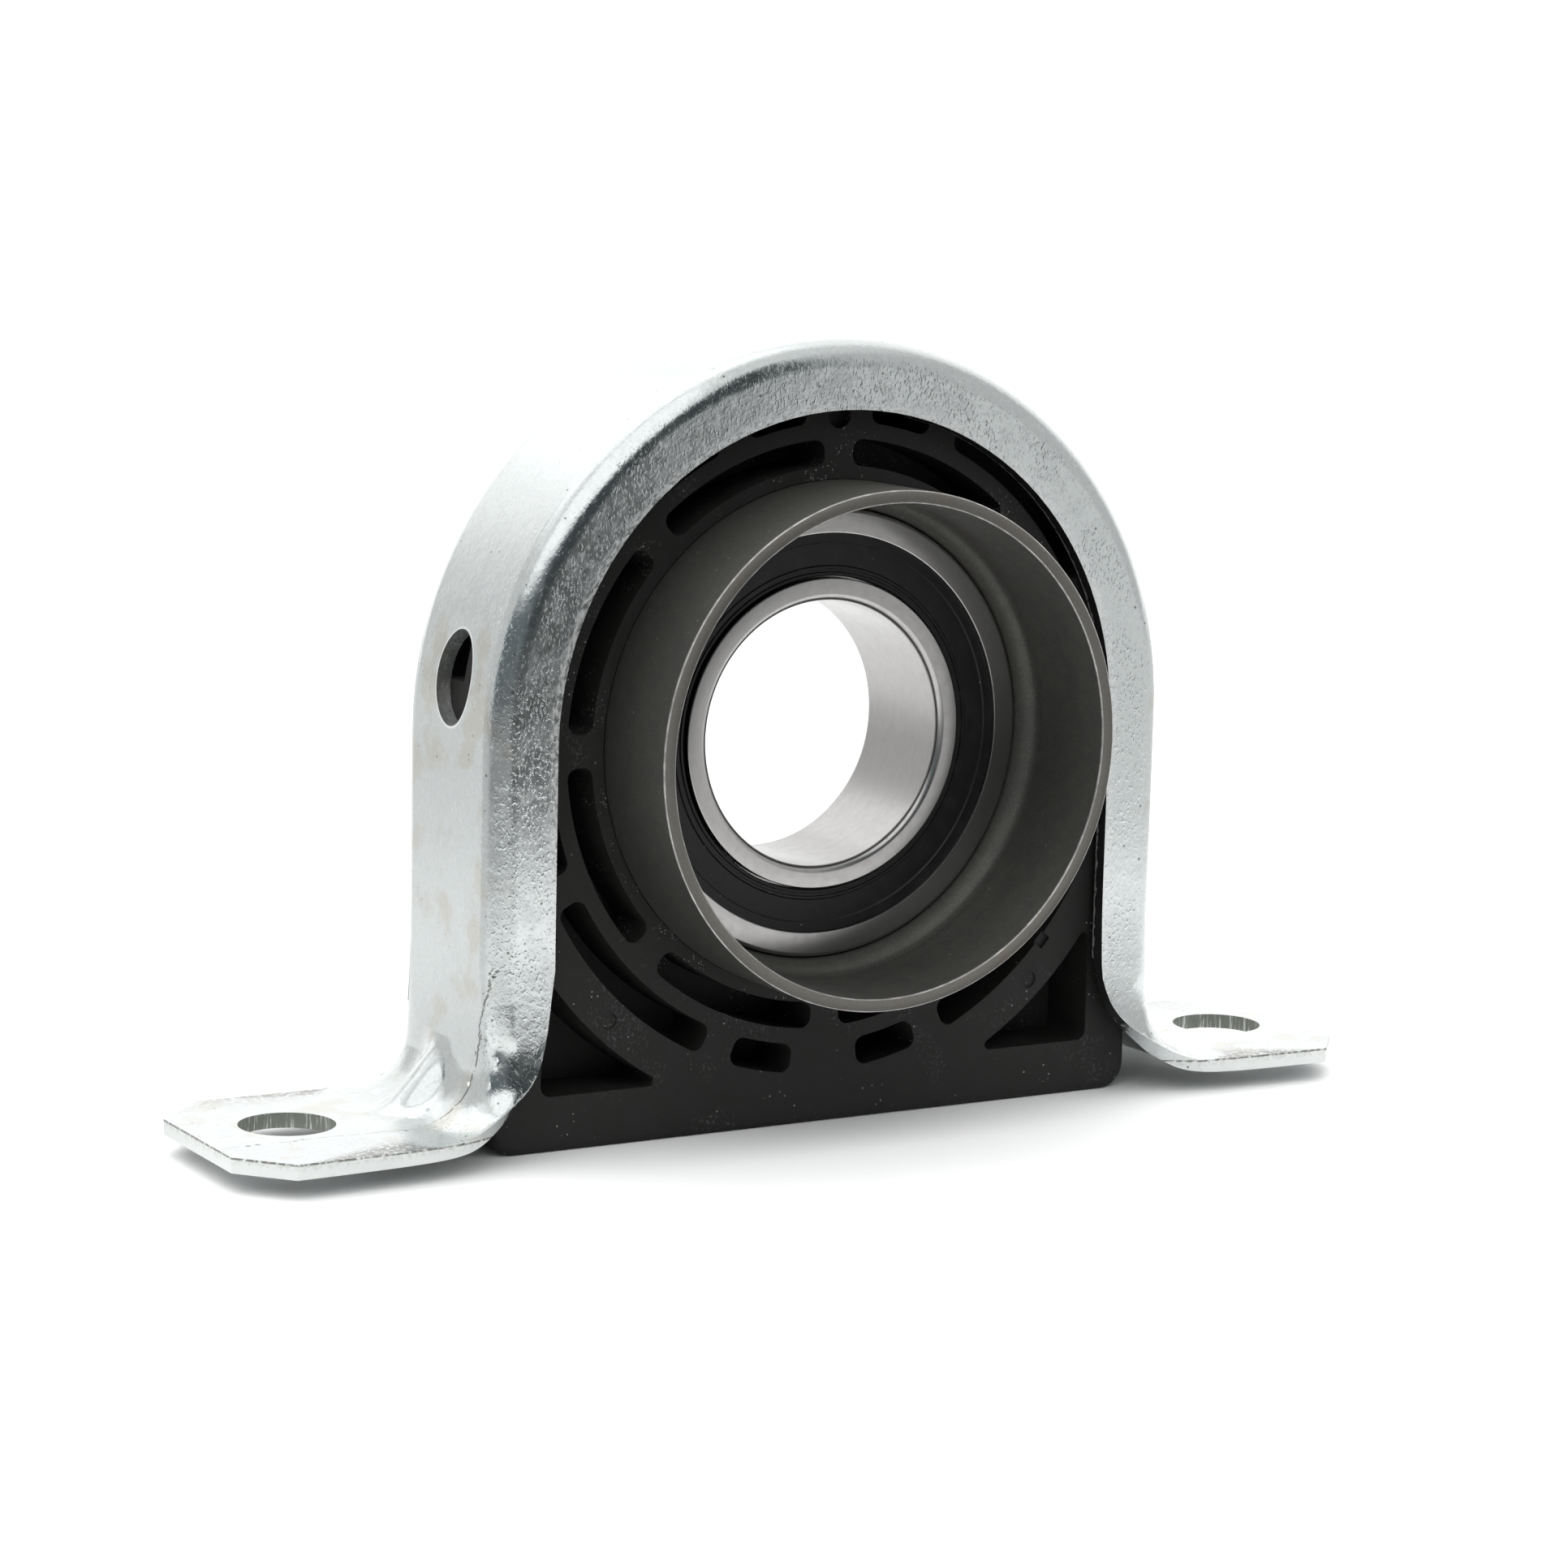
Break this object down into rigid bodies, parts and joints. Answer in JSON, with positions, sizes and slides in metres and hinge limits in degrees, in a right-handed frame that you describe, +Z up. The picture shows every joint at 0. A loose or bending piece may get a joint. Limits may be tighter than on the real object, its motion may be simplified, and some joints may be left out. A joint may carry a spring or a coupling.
{
  "type": "driveshaft centre bearing",
  "caption": "Sealed ball bearing in a drawn sleeve, held by a moulded rubber cushion in a pressed steel bracket with two bolt feet; carries the joint of a divided driveshaft.",
  "frame": {"origin": "centre of the bearing's bore, at the middle of the bearing's width", "axes": "+Y along the bore, away from the cup's open side; +X along the two feet; +Z up, from the feet to the crown of the arch"},
  "size_m": [0.1918, 0.0491, 0.1183],
  "materials": {
    "zinc_plated_steel": "bright zinc plate on pressed sheet",
    "black_rubber": "matte moulded rubber",
    "phosphated_steel": "satin dark phosphate",
    "ring_steel": "fine ground bearing steel",
    "ball_steel": "polished bearing steel",
    "cage_steel": "pressed sheet",
    "seal_rubber": "smooth moulded rubber"
  },
  "bodies": {
    "housing": {"bracket": "zinc_plated_steel", "rubber_cushion": "black_rubber", "bearing_sleeve": "phosphated_steel", "outer_ring": "ring_steel", "seal_front": "seal_rubber", "seal_rear": "seal_rubber"},
    "shaft_ring": {"inner_ring": "ring_steel"},
    "cage": {"cage_front": "cage_steel", "cage_rear": "cage_steel", "cage_rivets": "cage_steel"},
    "ball_01": {"ball_01": "ball_steel"},
    "ball_02": {"ball_02": "ball_steel"},
    "ball_03": {"ball_03": "ball_steel"},
    "ball_04": {"ball_04": "ball_steel"},
    "ball_05": {"ball_05": "ball_steel"},
    "ball_06": {"ball_06": "ball_steel"},
    "ball_07": {"ball_07": "ball_steel"},
    "ball_08": {"ball_08": "ball_steel"},
    "ball_09": {"ball_09": "ball_steel"},
    "ball_10": {"ball_10": "ball_steel"},
    "ball_11": {"ball_11": "ball_steel"},
    "ball_12": {"ball_12": "ball_steel"}
  },
  "joints": [
    {"name": "shaft_spin", "type": "hinge", "parent": "housing", "child": "shaft_ring", "pos_m": [0, 0, 0], "axis": [0, 1, 0], "continuous": true},
    {"name": "cage_spin", "type": "hinge", "parent": "housing", "child": "cage", "pos_m": [0, 0, 0], "axis": [0, 1, 0], "continuous": true},
    {"name": "ball_01_spin", "type": "hinge", "parent": "cage", "child": "ball_01", "pos_m": [0.027, 0, 0], "axis": [0, 1, 0], "continuous": true},
    {"name": "ball_02_spin", "type": "hinge", "parent": "cage", "child": "ball_02", "pos_m": [0.02338, 0, 0.0135], "axis": [0, 1, 0], "continuous": true},
    {"name": "ball_03_spin", "type": "hinge", "parent": "cage", "child": "ball_03", "pos_m": [0.0135, 0, 0.02338], "axis": [0, 1, 0], "continuous": true},
    {"name": "ball_04_spin", "type": "hinge", "parent": "cage", "child": "ball_04", "pos_m": [0, 0, 0.027], "axis": [0, 1, 0], "continuous": true},
    {"name": "ball_05_spin", "type": "hinge", "parent": "cage", "child": "ball_05", "pos_m": [-0.0135, 0, 0.02338], "axis": [0, 1, 0], "continuous": true},
    {"name": "ball_06_spin", "type": "hinge", "parent": "cage", "child": "ball_06", "pos_m": [-0.02338, 0, 0.0135], "axis": [0, 1, 0], "continuous": true},
    {"name": "ball_07_spin", "type": "hinge", "parent": "cage", "child": "ball_07", "pos_m": [-0.027, 0, 0], "axis": [0, 1, 0], "continuous": true},
    {"name": "ball_08_spin", "type": "hinge", "parent": "cage", "child": "ball_08", "pos_m": [-0.02338, 0, -0.0135], "axis": [0, 1, 0], "continuous": true},
    {"name": "ball_09_spin", "type": "hinge", "parent": "cage", "child": "ball_09", "pos_m": [-0.0135, 0, -0.02338], "axis": [0, 1, 0], "continuous": true},
    {"name": "ball_10_spin", "type": "hinge", "parent": "cage", "child": "ball_10", "pos_m": [0, 0, -0.027], "axis": [0, 1, 0], "continuous": true},
    {"name": "ball_11_spin", "type": "hinge", "parent": "cage", "child": "ball_11", "pos_m": [0.0135, 0, -0.02338], "axis": [0, 1, 0], "continuous": true},
    {"name": "ball_12_spin", "type": "hinge", "parent": "cage", "child": "ball_12", "pos_m": [0.02338, 0, -0.0135], "axis": [0, 1, 0], "continuous": true}
  ],
  "couplings": [
    {"joint": "cage_spin", "follows": "shaft_spin", "ratio": 0.4265},
    {"joint": "ball_01_spin", "follows": "shaft_spin", "ratio": -3.3279},
    {"joint": "ball_02_spin", "follows": "shaft_spin", "ratio": -3.3279},
    {"joint": "ball_03_spin", "follows": "shaft_spin", "ratio": -3.3279},
    {"joint": "ball_04_spin", "follows": "shaft_spin", "ratio": -3.3279},
    {"joint": "ball_05_spin", "follows": "shaft_spin", "ratio": -3.3279},
    {"joint": "ball_06_spin", "follows": "shaft_spin", "ratio": -3.3279},
    {"joint": "ball_07_spin", "follows": "shaft_spin", "ratio": -3.3279},
    {"joint": "ball_08_spin", "follows": "shaft_spin", "ratio": -3.3279},
    {"joint": "ball_09_spin", "follows": "shaft_spin", "ratio": -3.3279},
    {"joint": "ball_10_spin", "follows": "shaft_spin", "ratio": -3.3279},
    {"joint": "ball_11_spin", "follows": "shaft_spin", "ratio": -3.3279},
    {"joint": "ball_12_spin", "follows": "shaft_spin", "ratio": -3.3279}
  ]
}
